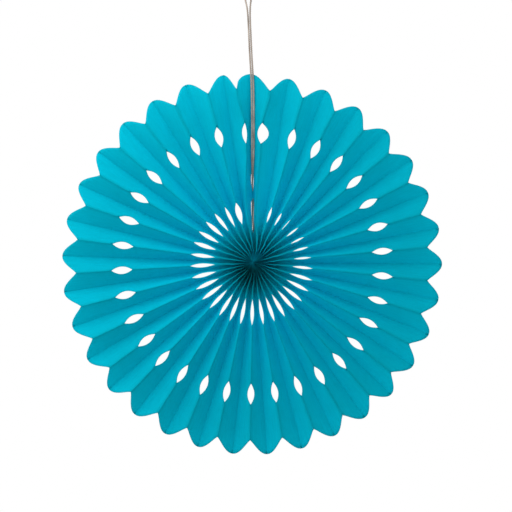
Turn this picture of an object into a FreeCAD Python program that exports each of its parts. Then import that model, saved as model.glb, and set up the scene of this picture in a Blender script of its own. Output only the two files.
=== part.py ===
import FreeCAD, Part
import Mesh
import Sketcher
import math
import os

# A hanging paper fan: one strip of paper, folded to and fro like an accordion and opened out to a
# full ring, with a scalloped rim and two rings of almond shaped holes cut on its near folds.
# Millimetres. The ring stands in the XZ plane, its front looks along -Y and +Z is up.
# The origin is the middle of the hub.

os.makedirs("parts", exist_ok=True)
doc = FreeCAD.newDocument("paper_fan")

# Driving sizes
SIZES = {
    "pleat_count": 33,
    "rim_radius": 200.0,
    "scallop_depth": 14.0,
    "scallop_power": 1.35,
    "rim_fold_depth": 11.5,
    "paper_thickness": 0.1,
    "bore_ease": 1.5,
    "seam_angle": 89.4,
    "uneven_spread": 1.45,
    "inner_hole_start": 41.0,
    "inner_hole_end": 63.0,
    "inner_cut_depth": 8.6,
    "outer_hole_start": 127.0,
    "outer_hole_end": 147.0,
    "outer_cut_depth": 6.4,
    "slit_start": 74.0,
    "slit_end": 100.0,
    "slit_cut_depth": 5.0,
    "seam_gap_start": 34.0,
    "seam_gap_end": 66.0,
    "seam_gap_cut_depth": 7.0,
    "tie_ring_radius": 16.0,
    "tie_setback": 4.2,
    "thread_diameter": 1.2,
    "tail_share": 0.8,
    "punch_clearance": 0.5,
    "cord_diameter": 1.9,
    "strand_gap": 0.2,
    "knot_radius": 3.4,
    "knot_length": 6.0,
    "knot_edge_round": 1.2,
    "knot_clearance": 0.2,
    "eye_half_width": 3.6,
}
sheet = doc.addObject("Spreadsheet::Sheet", "Sizes")
for row, (alias, value) in enumerate(SIZES.items(), start=1):
    sheet.set(f"A{row}", alias)
    sheet.set(f"B{row}", str(value))
    sheet.setAlias(f"B{row}", alias)
doc.recompute()


def size(alias):
    return float(sheet.get(alias))


pleats = int(size("pleat_count"))
thickness = size("paper_thickness")
rim_radius = size("rim_radius")
fold_angle = math.pi / pleats


# How the strip stands when it is opened. Each panel keeps its width, so as the folds spread
# apart towards the rim they come closer together from front to back.
def half_pitch(radius):
    return fold_angle * radius


panel_width = math.hypot(half_pitch(rim_radius), size("rim_fold_depth"))
bore_radius = size("bore_ease") * pleats * thickness / math.pi


def fold_depth(radius):
    return math.sqrt(panel_width**2 - half_pitch(radius) ** 2)


def front_to_back(radius):
    """The paper's thickness measured along Y, on a panel that leans."""
    return thickness * panel_width / half_pitch(radius)


# Fold number 0 is the far fold at the seam. Odd folds are near ones and even folds are far ones.
def fold_direction(number):
    """The folds stand a little wider apart at the seam than opposite it."""
    angle = number * fold_angle
    spread = math.radians(size("uneven_spread")) * math.sin(angle)
    return math.radians(size("seam_angle")) + angle + spread


SEAM_LEFT = (1, -1)
SEAM_RIGHT = (2 * pleats - 1, 1)
PANELS = [(near, side) for near in range(1, 2 * pleats, 2) for side in (-1, 1)]


def skin_point(panel, share, radius, back):
    """A point of a panel's front or back skin, at a share of the way from its near fold."""
    near, side = panel
    start = fold_direction(near)
    direction = start + share * (fold_direction(near + side) - start)
    travel = fold_depth(radius) - front_to_back(radius)
    depth = share * travel - fold_depth(radius) / 2.0
    if back:
        depth += front_to_back(radius)
    return FreeCAD.Vector(radius * math.cos(direction), depth, radius * math.sin(direction))


# Cuts: each is half an almond on one side of a fold, from a start to an end radius
def almond(radius, start, end):
    along = (radius - start) / (end - start)
    return max(0.0, 4.0 * along * (1.0 - along))


INNER_HOLE = (size("inner_hole_start"), size("inner_hole_end"))
OUTER_HOLE = (size("outer_hole_start"), size("outer_hole_end"))
SLIT = (size("slit_start"), size("slit_end"))
SEAM_GAP = (size("seam_gap_start"), size("seam_gap_end"))


def near_share(panel, radius):
    """Where the paper starts beside the near fold. The folds next to the seam have no inner hole."""
    cut = size("outer_cut_depth") * almond(radius, *OUTER_HOLE)
    if panel[0] not in (SEAM_LEFT[0], SEAM_RIGHT[0]):
        cut += size("inner_cut_depth") * almond(radius, *INNER_HOLE)
    return cut / panel_width


def far_share(panel, radius):
    """Where the paper ends beside the far fold. The fold at the seam has a slit and a gap."""
    cut = 0.0
    if panel in (SEAM_LEFT, SEAM_RIGHT):
        cut = size("slit_cut_depth") * almond(radius, *SLIT)
        cut += size("seam_gap_cut_depth") * almond(radius, *SEAM_GAP)
    return 1.0 - cut / panel_width


def rim_height(share):
    """The scalloped rim, lowest at the near folds and highest at the far ones."""
    rise = math.sin(math.pi / 2.0 * share) ** size("scallop_power")
    return rim_radius - size("scallop_depth") * (1.0 - rise)


# The tie that holds the inner ends runs through a punched hole in every panel
tie_radius = size("tie_ring_radius")
tie_depth = fold_depth(tie_radius) / 2.0 - size("tie_setback")
punch_half = size("thread_diameter") / 2.0 + size("punch_clearance")
TIE_BAND = (tie_radius - 2.0 * punch_half, tie_radius + 2.0 * punch_half)

# Rows of points across the panels, closest at the hub, where the panels turn most sharply
HUB_ROWS = (1.0, 2.0, 4.0)
HOLE_STEPS = 4
SLIT_STEPS = 3
RIM_STEPS = 6


def steps(span, count):
    start, end = span
    return [start + (end - start) * step / count for step in range(count + 1)]


last_row = (OUTER_HOLE[1] + rim_height(0.0)) / 2.0
rows = sorted(
    {
        *(bore_radius * times for times in HUB_ROWS),
        *TIE_BAND,
        *SEAM_GAP,
        *steps(INNER_HOLE, HOLE_STEPS),
        *steps(SLIT, SLIT_STEPS),
        (SLIT[1] + OUTER_HOLE[0]) / 2.0,
        *steps(OUTER_HOLE, HOLE_STEPS),
        last_row,
    }
)


def skins(panel, outline):
    """Flat facets that fill an outline of (share, radius) corners, on both faces of the paper."""
    facets = []
    for back in (False, True):
        corners = [skin_point(panel, share, radius, back) for share, radius in outline]
        for second, third in zip(corners[1:], corners[2:]):
            facets.append((corners[0], second, third))
    return facets


def cut_edge(panel, line):
    """The narrow edge of the paper along a line of (share, radius) points."""
    facets = []
    for start, end in zip(line, line[1:]):
        front = [skin_point(panel, share, radius, False) for share, radius in (start, end)]
        back = [skin_point(panel, share, radius, True) for share, radius in (start, end)]
        facets.append((front[0], front[1], back[1]))
        facets.append((front[0], back[1], back[0]))
    return facets


def punched_band(panel, outline):
    """The band that the tie goes through, with a four sided hole."""
    across = fold_depth(tie_radius) - front_to_back(tie_radius)
    middle = (tie_depth + across / 2.0) / across
    half = (punch_half + front_to_back(tie_radius) / 2.0) / across
    low, high = tie_radius - punch_half, tie_radius + punch_half
    hole = [(middle - half, low), (middle - half, high), (middle + half, high), (middle + half, low)]
    facets = cut_edge(panel, hole + hole[:1])
    for corner in range(4):
        following = (corner + 1) % 4
        sides = [outline[corner], outline[following], hole[following], hole[corner]]
        facets += skins(panel, sides)
    return facets


def panel_facets(panel):
    facets = cut_edge(panel, [(0.0, bore_radius), (1.0, bore_radius)])
    for low, high in zip(rows, rows[1:]):
        near = [(near_share(panel, radius), radius) for radius in (low, high)]
        far = [(far_share(panel, radius), radius) for radius in (low, high)]
        outline = [near[0], near[1], far[1], far[0]]
        facets += punched_band(panel, outline) if low == TIE_BAND[0] else skins(panel, outline)
        if near[0][0] > 0.0 or near[1][0] > 0.0:
            facets += cut_edge(panel, near)
        if far[0][0] < 1.0 or far[1][0] < 1.0:
            facets += cut_edge(panel, far)
    rim = [(share, rim_height(share)) for share in steps((0.0, 1.0), RIM_STEPS)]
    middle = RIM_STEPS // 2
    near_end, far_end = (0.0, last_row), (1.0, last_row)
    facets += skins(panel, [near_end] + rim[: middle + 1])
    facets += skins(panel, [near_end, rim[middle], far_end])
    facets += skins(panel, [far_end] + rim[middle:])
    return facets + cut_edge(panel, rim)


def solid_from_facets(facets):
    mesh = Mesh.Mesh([list(map(tuple, facet)) for facet in facets])
    mesh.harmonizeNormals()
    shell = Part.Shape()
    shell.makeShapeFromMesh(mesh.Topology, SEWING_TOLERANCE)
    solid = Part.makeSolid(shell)
    if solid.Volume < 0.0:
        solid.reverse()
    return solid


SEWING_TOLERANCE = 0.001
paper_fan = doc.addObject("Part::Feature", "paper_fan")
paper_fan.Label = "paper_fan"
paper_fan.Shape = solid_from_facets([facet for panel in PANELS for facet in panel_facets(panel)])

# The knot behind the hub, which joins the tie's two ends and the two ends of the hanging cord
seam_x_share = math.cos(fold_direction(0))
knot_x = tie_radius * seam_x_share
knot_back = fold_depth(bore_radius) / 2.0 + size("knot_clearance")
knot_y = knot_back + size("knot_radius")
knot_top = tie_radius + size("knot_length") / 2.0
knot = doc.addObject("PartDesign::Body", "hub_knot")
knot.Label = "hub_knot"
knot_plane = next(plane for plane in knot.Origin.OriginFeatures if plane.Role == "XY_Plane")
knot_circle = knot.newObject("Sketcher::SketchObject", "knot_circle")
knot_circle.AttachmentSupport = [(knot_plane, "")]
knot_circle.MapMode = "FlatFace"
plane_origin, plane_normal = FreeCAD.Vector(0, 0, 0), FreeCAD.Vector(0, 0, 1)
knot_circle.addGeometry(Part.Circle(plane_origin, plane_normal, size("knot_radius")), False)
knot_circle.addConstraint(Sketcher.Constraint("Coincident", 0, 3, -1, 1))
radius_constraint = knot_circle.addConstraint(Sketcher.Constraint("Radius", 0, size("knot_radius")))
knot_circle.renameConstraint(radius_constraint, "radius")
knot_circle.setExpression("Constraints.radius", "Sizes.knot_radius")
knot_pad = knot.newObject("PartDesign::Pad", "knot_pad")
knot_pad.Profile = knot_circle
knot_pad.setExpression("Length", "Sizes.knot_length")
doc.recompute()
round_edges = [
    f"Edge{index}"
    for index, rim_edge in enumerate(knot_pad.Shape.Edges, start=1)
    if isinstance(rim_edge.Curve, Part.Circle)
]
knot_round = knot.newObject("PartDesign::Fillet", "knot_round")
knot_round.Base = (knot_pad, round_edges)
knot_round.setExpression("Radius", "Sizes.knot_edge_round")
knot.Tip = knot_round
knot.Placement.Base = FreeCAD.Vector(knot_x, knot_y, knot_top - size("knot_length"))
doc.recompute()

# The tie: a ring of thread in the punched holes, and its ends led out at the back to the knot,
# where they are pulled tight and so a little thinner
tie_ring = doc.addObject("Part::Torus", "tie_ring")
tie_ring.setExpression("Radius1", "Sizes.tie_ring_radius")
tie_ring.setExpression("Radius2", "Sizes.thread_diameter / 2")
tie_ring.Placement = FreeCAD.Placement(
    FreeCAD.Vector(0, tie_depth, 0), FreeCAD.Rotation(FreeCAD.Vector(1, 0, 0), 90)
)
tail_direction = fold_direction(-1)
tie_tail = doc.addObject("Part::Cylinder", "tie_tail")
tie_tail.setExpression("Radius", "Sizes.thread_diameter * Sizes.tail_share / 2")
tie_tail.Height = knot_y - tie_depth
tie_tail.Placement = FreeCAD.Placement(
    FreeCAD.Vector(
        tie_radius * math.cos(tail_direction), tie_depth, tie_radius * math.sin(tail_direction)
    ),
    FreeCAD.Rotation(FreeCAD.Vector(1, 0, 0), -90),
)
tie_whole = doc.addObject("Part::Fuse", "tie_whole")
tie_whole.Base = tie_ring
tie_whole.Tool = tie_tail
tie_knot_copy = doc.addObject("Part::Feature", "knot_space")
tie_knot_copy.Shape = knot.Shape
centre_tie = doc.addObject("Part::Cut", "centre_tie")
centre_tie.Label = "centre_tie"
centre_tie.Base = tie_whole
centre_tie.Tool = tie_knot_copy

# The hanging cord: one length of twine, from the knot up to an eye and back down to the knot.
# The middle of its two strands, from the eye down to the slit, and behind the fan to the knot.
strand_half = (size("cord_diameter") + size("strand_gap")) / 2.0
ABOVE_SLIT = [
    (-3.4, 2.4, 268.0),
    (-2.4, 2.5, 243.0),
    (-1.1, 2.4, 216.0),
    (0.6, 2.6, 190.0),
    (1.1, 3.4, 150.0),
    (1.0, 4.2, 118.0),
]
BELOW_SLIT = [
    (1.2, 13.7, 64.0),
    (1.4, 13.9, 48.0),
]
STRAIGHT_FROM_KNOT = 14.0
EYE_BASE_Z = 281.0
EYE_TOP_Z = 293.0
EYE_X = -4.2
EYE_Y = 2.4
SLIT_FRONT = (1.0, 4.6, 99.0)
SLIT_BACK = (1.0, 13.4, 83.0)
SECOND_STRAND_LOWER = 7.0


def strand(side, lower):
    """The points of one strand from the knot up to the eye, with its place in the pair."""
    offset = side * strand_half
    points = [(knot_x + offset, knot_y, z) for z in (knot_top, knot_top + STRAIGHT_FROM_KNOT)]
    points += [(x + offset, y, z) for x, y, z in reversed(BELOW_SLIT)]
    points += [(x, y, z - lower) for x, y, z in (SLIT_BACK, SLIT_FRONT)]
    points += [(x + offset, y, z) for x, y, z in reversed(ABOVE_SLIT)]
    eye_offset = side * size("eye_half_width")
    points += [(EYE_X + eye_offset, EYE_Y, z) for z in (EYE_BASE_Z, EYE_TOP_Z)]
    return [FreeCAD.Vector(*point) for point in points]


CORD_ROUTE = strand(-1, 0.0) + list(reversed(strand(1, SECOND_STRAND_LOWER)))
CORNER_SHARE = 0.45


def rounded_path(points):
    """Straight runs joined by tangent arcs, each as wide as its shorter run allows."""
    edges = []
    start = points[0]
    radii = []
    for before, corner, after in zip(points, points[1:], points[2:]):
        inward, onward = before - corner, after - corner
        tangent = CORNER_SHARE * min(inward.Length, onward.Length)
        half_turn = (math.pi - inward.getAngle(onward)) / 2.0
        inward.normalize()
        onward.normalize()
        arc_start, arc_end = corner + inward * tangent, corner + onward * tangent
        radius = tangent / math.tan(half_turn)
        radii.append(round(radius, 1))
        bisector = (inward + onward).normalize()
        middle = corner + bisector * (radius / math.cos(half_turn) - radius)
        edges.append(Part.makeLine(start, arc_start))
        edges.append(Part.Arc(arc_start, middle, arc_end).toShape())
        start = arc_end
    edges.append(Part.makeLine(start, points[-1]))
    return Part.Wire(edges), radii


cord_path, cord_radii = rounded_path(CORD_ROUTE)
cord_radius = size("cord_diameter") / 2.0
cord_section = Part.Wire(
    Part.makeCircle(cord_radius, CORD_ROUTE[0], CORD_ROUTE[1] - CORD_ROUTE[0])
)
hanging_cord = doc.addObject("Part::Feature", "hanging_cord")
hanging_cord.Label = "hanging_cord"
hanging_cord.Shape = cord_path.makePipeShell([cord_section], True, True)
doc.recompute()
print("cord bend radii", cord_radii)
print("cord length", round(cord_path.Length, 1))
print("cord volume ratio", hanging_cord.Shape.Volume / (math.pi * cord_radius**2 * cord_path.Length))

# Checks and files
NODES = [paper_fan, centre_tie, knot, hanging_cord]
for feature in doc.Objects:
    for word in ("Invalid", "Error"):
        if word in feature.State:
            raise RuntimeError(f"{feature.Label} is {word}")
for node in NODES:
    shape = node.Shape
    if shape.isNull() or not shape.isValid() or len(shape.Solids) != 1:
        raise RuntimeError(f"{node.Label} isn't one valid solid")
    shape.exportStep(f"parts/{node.Label}.step")
    print(node.Label, "volume", round(shape.Volume, 1), "faces", len(shape.Faces))
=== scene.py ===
import math

import bpy
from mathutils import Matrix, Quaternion, Vector


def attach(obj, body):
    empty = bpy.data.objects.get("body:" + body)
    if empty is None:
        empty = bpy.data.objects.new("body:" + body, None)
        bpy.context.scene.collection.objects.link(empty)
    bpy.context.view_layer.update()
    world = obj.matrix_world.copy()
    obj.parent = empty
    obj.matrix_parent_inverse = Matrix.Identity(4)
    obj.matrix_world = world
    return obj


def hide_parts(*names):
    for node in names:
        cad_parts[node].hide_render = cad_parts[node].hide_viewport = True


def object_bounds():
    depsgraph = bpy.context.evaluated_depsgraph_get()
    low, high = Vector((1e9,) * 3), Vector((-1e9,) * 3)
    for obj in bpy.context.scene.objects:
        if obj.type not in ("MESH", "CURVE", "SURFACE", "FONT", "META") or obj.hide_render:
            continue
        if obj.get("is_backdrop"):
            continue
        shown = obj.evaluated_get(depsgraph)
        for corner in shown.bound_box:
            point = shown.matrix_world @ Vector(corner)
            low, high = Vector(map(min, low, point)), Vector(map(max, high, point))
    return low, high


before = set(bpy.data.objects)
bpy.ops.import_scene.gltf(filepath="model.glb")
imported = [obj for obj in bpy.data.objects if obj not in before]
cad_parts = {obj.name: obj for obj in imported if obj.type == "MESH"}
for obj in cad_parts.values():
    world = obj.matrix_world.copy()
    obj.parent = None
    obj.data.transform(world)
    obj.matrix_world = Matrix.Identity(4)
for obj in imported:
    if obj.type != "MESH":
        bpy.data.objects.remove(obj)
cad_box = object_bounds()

bl_info = {
    "name": "Hanging paper fan",
    "version": (1, 0, 0),
    "blender": (4, 5, 0),
    "location": "View3D > Sidebar > Paper fan",
    "description": "A pleated paper fan with a scalloped rim, hung on doubled twine",
    "category": "Object",
}

MM = 0.001
BODY = "root"
# The side of the square picture, and its scale at the fan
FRAME_PIXELS = 512
METRES_PER_PIXEL = 0.001053
# The most that fibres, and the thread's twist, stand out
BUMP_DEPTH = 0.0002


# The sizes and colours that a user would change
class FanSizes(bpy.types.PropertyGroup):
    pleats: bpy.props.IntProperty(name="Pleats", description="Folds round the ring", default=33)
    rim_radius: bpy.props.FloatProperty(
        name="Rim radius", description="From the hub to a petal's tip", default=0.2, unit="LENGTH"
    )
    rim_fold_depth: bpy.props.FloatProperty(
        name="Depth at the rim",
        description="From the near folds to the far ones",
        default=0.0115,
        unit="LENGTH",
    )
    scallop_depth: bpy.props.FloatProperty(
        name="Scallop depth", description="From a tip to a notch", default=0.0155, unit="LENGTH"
    )
    seam_angle: bpy.props.FloatProperty(
        name="Seam angle",
        description="Where the strip's two ends meet",
        default=math.radians(89.4),
        subtype="ANGLE",
    )
    uneven_spread: bpy.props.FloatProperty(
        name="Uneven spread",
        description="How much wider the pleats stand at the seam",
        default=math.radians(1.45),
        subtype="ANGLE",
    )
    fold_wander: bpy.props.FloatProperty(
        name="Fold wander",
        description="How far a fold may stand from its even place",
        default=math.radians(0.2),
        subtype="ANGLE",
    )
    inner_cut: bpy.props.FloatProperty(
        name="Inner cut", description="Half the inner holes' width", default=0.0086, unit="LENGTH"
    )
    outer_cut: bpy.props.FloatProperty(
        name="Outer cut", description="Half the outer holes' width", default=0.0064, unit="LENGTH"
    )
    colour: bpy.props.StringProperty(
        name="Paper", description="sRGB hex colour of the dyed paper", default="#00CCDE"
    )
    # Painted light: these lighter colours for the hub and its packed folds stand in for light that
    # reaches deep into the folds
    hub_colour_with_painted_light: bpy.props.StringProperty(
        name="Paper at the hub",
        description="sRGB hex colour, where it has seen less light",
        default="#00E0F2",
    )
    fold_depth_colour_with_painted_light: bpy.props.StringProperty(
        name="Paper in the hub's folds",
        description="sRGB hex colour, where the folds are packed together",
        default="#00E2EF",
    )


class CordSizes(bpy.types.PropertyGroup):
    diameter: bpy.props.FloatProperty(
        name="Strand", description="Thickness of one strand", default=0.0019, unit="LENGTH"
    )
    twist: bpy.props.FloatProperty(
        name="Twist", description="Length of one turn of the plies", default=0.0065, unit="LENGTH"
    )
    light_fibre: bpy.props.StringProperty(
        name="Light fibre", description="sRGB hex colour", default="#B9ADA2"
    )
    dark_fibre: bpy.props.StringProperty(
        name="Dark fibre", description="sRGB hex colour", default="#786B60"
    )


class StageSettings(bpy.types.PropertyGroup):
    floor_drop: bpy.props.FloatProperty(
        name="Floor", description="How far the floor lies below the hub", default=1.2, unit="LENGTH"
    )
    key_power: bpy.props.FloatProperty(
        name="Key lamp", description="Power of the soft lamp in front, above left", default=1.7
    )
    side_power: bpy.props.FloatProperty(
        name="Side lamp", description="Power of the soft lamp at the fan's left", default=1.6
    )
    sky_strength: bpy.props.FloatProperty(
        name="Sky", description="Strength of the even light all round", default=0.65
    )


# Colours, nodes and meshes
def linear(hex_colour):
    """An sRGB hex colour as the linear red, green, blue and alpha that a shader takes."""
    digits = hex_colour.lstrip("#")
    channels = [int(digits[place : place + 2], 16) / 255.0 for place in (0, 2, 4)]
    return [c / 12.92 if c <= 0.04045 else ((c + 0.055) / 1.055) ** 2.4 for c in channels] + [1.0]


def add(tree, kind, inputs=None, **settings):
    """Adds a node with its settings, then fills its inputs with values or links them to nodes."""
    node = tree.nodes.new(kind)
    for name, value in settings.items():
        setattr(node, name, value)
    for key, value in (inputs or {}).items():
        if isinstance(key, int):
            socket = node.inputs[key]
        else:
            socket = next(s for s in node.inputs if s.name == key and s.enabled)
        if isinstance(value, bpy.types.Node):
            value = next(s for s in value.outputs if s.enabled)
        if isinstance(value, bpy.types.NodeSocket):
            tree.links.new(value, socket)
        else:
            socket.default_value = value
    return node


def new_material(name):
    material = bpy.data.materials.new(name)
    material.use_nodes = True
    material.node_tree.nodes.clear()
    return material, material.node_tree


def new_piece(name, mesh):
    """Puts a finished mesh in the scene as a piece that rides on the part's one body."""
    piece = bpy.data.objects.new(name, mesh)
    bpy.context.scene.collection.objects.link(piece)
    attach(piece, BODY)
    return piece


def carried(points):
    """Each point of a line with its direction, and a sideways arrow carried on without twisting."""
    ahead = (points[1] - points[0]).normalized()
    out = ahead.orthogonal().normalized()
    for place, point in enumerate(points):
        onward = points[min(place + 1, len(points) - 1)] - points[max(place - 1, 0)]
        onward.normalize()
        out = (ahead.rotation_difference(onward) @ out).normalized()
        ahead = onward
        yield point, ahead, out


def tube(points, radius, sides):
    """Vertices and faces of a round tube along the points, with closed ends."""
    vertices, faces = [], []
    for point, ahead, out in carried(points):
        for side in range(sides):
            turn = Quaternion(ahead, math.tau * side / sides)
            vertices.append(point + radius * (turn @ out))
    for ring in range(len(points) - 1):
        for side in range(sides):
            following = (side + 1) % sides
            low, high = ring * sides, (ring + 1) * sides
            faces.append((low + side, low + following, high + following, high + side))
    faces.append(tuple(reversed(range(sides))))
    faces.append(tuple(range(len(vertices) - sides, len(vertices))))
    return vertices, faces


# The camera, level with the fan's middle and straight in front of it
CAMERA_DISTANCE = 2.5
SENSOR = 36.0
HUB_PIXEL = (252.0, 264.0)


class PAPERFAN_OT_camera(bpy.types.Operator):
    """Puts the camera straight in front of the fan"""

    bl_idname = "paper_fan.camera"
    bl_label = "Camera"

    def execute(self, context):
        data = bpy.data.cameras.new("camera")
        data.sensor_width = SENSOR
        data.lens = SENSOR * CAMERA_DISTANCE / (FRAME_PIXELS * METRES_PER_PIXEL)
        camera = bpy.data.objects.new("camera", data)
        across, down = ((FRAME_PIXELS / 2.0 - pixel) * METRES_PER_PIXEL for pixel in HUB_PIXEL)
        camera.location = (across, -CAMERA_DISTANCE, -down)
        camera.rotation_euler = (math.radians(90.0), 0.0, 0.0)
        context.scene.collection.objects.link(camera)
        context.scene.camera = camera
        return {"FINISHED"}


# The twine: jute, three plies laid up in a twist, greyish brown and matt.
# The route's points are in millimetres, from the knot up to the eye and back down.
CORD_POINTS = [
    (-0.88, 14.72, 19.0),
    (-0.88, 14.72, 33.0),
    (0.4, 13.9, 48.0),
    (0.3, 13.7, 64.0),
    (0.35, 13.4, 83.0),
    (0.2, 2.4, 99.0),
    (-0.15, 1.2, 118.0),
    (-0.05, 2.0, 150.0),
    (-0.45, 2.6, 190.0),
    (-2.15, 2.4, 216.0),
    (-3.45, 2.5, 243.0),
    (-4.45, 2.4, 268.0),
    (-7.8, 2.4, 281.0),
    (-7.8, 2.4, 293.0),
    (-0.6, 2.4, 293.0),
    (-0.6, 2.4, 281.0),
    (-2.35, 2.4, 268.0),
    (-1.35, 2.5, 243.0),
    (-0.05, 2.4, 216.0),
    (1.65, 2.6, 190.0),
    (2.05, 2.0, 150.0),
    (1.95, 1.2, 118.0),
    (0.6, 2.4, 92.0),
    (0.4, 13.4, 76.0),
    (2.2, 13.7, 64.0),
    (2.3, 13.9, 48.0),
    (1.22, 14.72, 33.0),
    (1.22, 14.72, 19.0),
]
# The smooth line's steps between two control points
CURVE_STEPS = 32
# A ply's thickness is a share of the strand's, and its rings stand a step apart
PLIES = 3
PLY_SHARE = 0.55
PLY_SIDES = 8
PLY_STEP = 0.0007
# Fibres show every 0.4 mm, coarser than real ones, and the yarn's tone drifts over about 17 mm.
# At the lower level the yarn has its dark colour, and at the upper one its light colour.
FIBRES_A_METRE = 2600.0
DRIFTS_A_METRE = 60.0
DRIFT_SHARE = 0.5
FIBRE_LEVELS = (0.55, 0.95)


def route_line(points):
    """The smooth line that a route's control points give, as a list of points in metres."""
    curve = bpy.data.curves.new("route", "CURVE")
    curve.dimensions = "3D"
    curve.resolution_u = CURVE_STEPS
    spline = curve.splines.new("NURBS")
    spline.points.add(len(points) - 1)
    for control, point in zip(spline.points, points):
        control.co = (*(Vector(point) * MM), 1.0)
    spline.order_u = 3
    spline.use_endpoint_u = True
    route = bpy.data.objects.new("route", curve)
    bpy.context.scene.collection.objects.link(route)
    line = bpy.data.meshes.new_from_object(route)
    found = [vertex.co.copy() for vertex in line.vertices]
    bpy.data.objects.remove(route)
    bpy.data.curves.remove(curve)
    bpy.data.meshes.remove(line)
    return found


def evenly(points, step):
    """The same line with its points a step apart."""
    found, since = [points[0]], 0.0
    for start, end in zip(points, points[1:]):
        run = (end - start).length
        while since + run >= step:
            start = start.lerp(end, (step - since) / run)
            found.append(start)
            run = (end - start).length
            since = 0.0
        since += run
    if (found[-1] - points[-1]).length > step / 2.0:
        found.append(points[-1])
    return found


def twine_mesh(name, lines):
    """Twisted plies along each line. Each point keeps how far along it lies."""
    sizes = bpy.context.scene.cord_sizes
    ply_radius = sizes.diameter / 2.0 * PLY_SHARE
    lay_radius = sizes.diameter / 2.0 - ply_radius
    vertices, faces, along = [], [], []
    for line in lines:
        laid = [[] for _ in range(PLIES)]
        for place, (point, ahead, out) in enumerate(carried(evenly(line, PLY_STEP))):
            for ply in range(PLIES):
                turn = math.tau * (place * PLY_STEP / sizes.twist + ply / PLIES)
                laid[ply].append(point + lay_radius * (Quaternion(ahead, turn) @ out))
        for centres in laid:
            ply_vertices, ply_faces = tube(centres, ply_radius, PLY_SIDES)
            start = len(vertices)
            vertices += ply_vertices
            faces += [tuple(start + corner for corner in face) for face in ply_faces]
            along += [place // PLY_SIDES * PLY_STEP for place in range(len(ply_vertices))]
    mesh = bpy.data.meshes.new(name)
    mesh.from_pydata(vertices, [], faces)
    mesh.attributes.new("along", "FLOAT", "POINT").data.foreach_set("value", along)
    mesh.shade_smooth()
    return mesh


def jute():
    """Jute twine: dull straw-grey fibres, rough, lighter and darker along the yarn."""
    sizes = bpy.context.scene.cord_sizes
    material, tree = new_material("jute twine")
    along = add(tree, "ShaderNodeAttribute", attribute_name="along").outputs["Fac"]
    place = add(tree, "ShaderNodeTexCoord").outputs["Object"]
    drift = add(
        tree, "ShaderNodeTexNoise", {"W": along, "Scale": DRIFTS_A_METRE}, noise_dimensions="1D"
    )
    fibre = add(
        tree, "ShaderNodeTexNoise", {"Vector": place, "Scale": FIBRES_A_METRE, "Detail": 4.0}
    )
    mixed = add(
        tree,
        "ShaderNodeMath",
        {0: drift.outputs[0], 1: DRIFT_SHARE, 2: fibre.outputs[0]},
        operation="MULTIPLY_ADD",
    )
    level = add(
        tree,
        "ShaderNodeMapRange",
        {"Value": mixed, "From Min": FIBRE_LEVELS[0], "From Max": FIBRE_LEVELS[1]},
    )
    colour = add(
        tree,
        "ShaderNodeMix",
        {"Factor": level, "A": linear(sizes.dark_fibre), "B": linear(sizes.light_fibre)},
        data_type="RGBA",
    )
    bump = add(
        tree,
        "ShaderNodeBump",
        {"Height": fibre.outputs[0], "Strength": 0.5, "Distance": BUMP_DEPTH},
    )
    shader = add(
        tree,
        "ShaderNodeBsdfPrincipled",
        {"Base Color": colour, "Roughness": 0.88, "Normal": bump},
    )
    add(tree, "ShaderNodeOutputMaterial", {"Surface": shader})
    return material


# The knot behind the hub, in millimetres: the twine's two ends wrapped round themselves, and tails
KNOT_MIDDLE = (0.17, 14.72, 16.0)
KNOT_WRAPS = 3
KNOT_WRAP_RADIUS = 2.35
KNOT_STEPS_A_TURN = 24
KNOT_TAILS = [
    [
        (-0.88, 14.72, 19.0),
        (-0.88, 14.6, 15.5),
        (-1.3, 14.9, 11.5),
        (-2.6, 15.4, 7.0),
        (-3.2, 15.2, 3.5),
    ],
    [
        (1.22, 14.72, 19.0),
        (1.22, 14.8, 15.5),
        (1.6, 14.6, 11.5),
        (2.3, 15.3, 8.0),
        (3.9, 15.6, 5.0),
    ],
]


def knot_lines():
    """The wraps as a close helix, and the two ends that run down through it."""
    middle = Vector(KNOT_MIDDLE)
    diameter = bpy.context.scene.cord_sizes.diameter / MM
    wraps = []
    for step in range(KNOT_WRAPS * KNOT_STEPS_A_TURN + 1):
        turns = step / KNOT_STEPS_A_TURN
        angle = math.tau * turns
        height = (turns - KNOT_WRAPS / 2.0) * diameter
        across = Vector((math.cos(angle), math.sin(angle), 0.0)) * KNOT_WRAP_RADIUS
        wraps.append((middle + across + Vector((0.0, 0.0, height))) * MM)
    return [wraps] + [route_line(points) for points in KNOT_TAILS]


class PAPERFAN_OT_cord(bpy.types.Operator):
    """Lays the doubled twine from the knot behind the hub up to its eye, and ties the knot"""

    bl_idname = "paper_fan.cord"
    bl_label = "Hanging cord"

    def execute(self, context):
        material = jute()
        line = route_line(CORD_POINTS)
        knot = new_piece("twine_knot", twine_mesh("twine_knot", knot_lines()))
        knot.data.materials.append(material)
        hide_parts("hub_knot")
        cord = new_piece("twine_cord", twine_mesh("twine_cord", [line]))
        cord.data.materials.append(material)
        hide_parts("hanging_cord")
        tuple(Vector(CORD_POINTS[0]) * MM)
        return {"FINISHED"}


# The paper: thin stock dyed through, matt, that lets some light through.
# Spans and depths are in metres, from the hub outwards.
INNER_HOLE = (0.0404, 0.0652)
OUTER_HOLE = (0.1262, 0.1478)
SLIT = (0.075, 0.100)
SEAM_GAP = (0.031, 0.069)
SLIT_CUT = 0.005
GAP_LEFT_CUT = 0.007
GAP_RIGHT_CUT = 0.009
BORE_RADIUS = 0.0006
SCALLOP_POWER = 1.2
PAPER_THICKNESS = 0.0001
PANEL_STEPS = 8
# From the bore out to the tips: where each stretch of the paper ends, and its number of rows
STRETCHES = [
    (0.012, 8),
    (0.036, 14),
    (0.069, 19),
    (0.100, 10),
    (0.126, 5),
    (0.148, 12),
    (0.200, 12),
]
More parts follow.
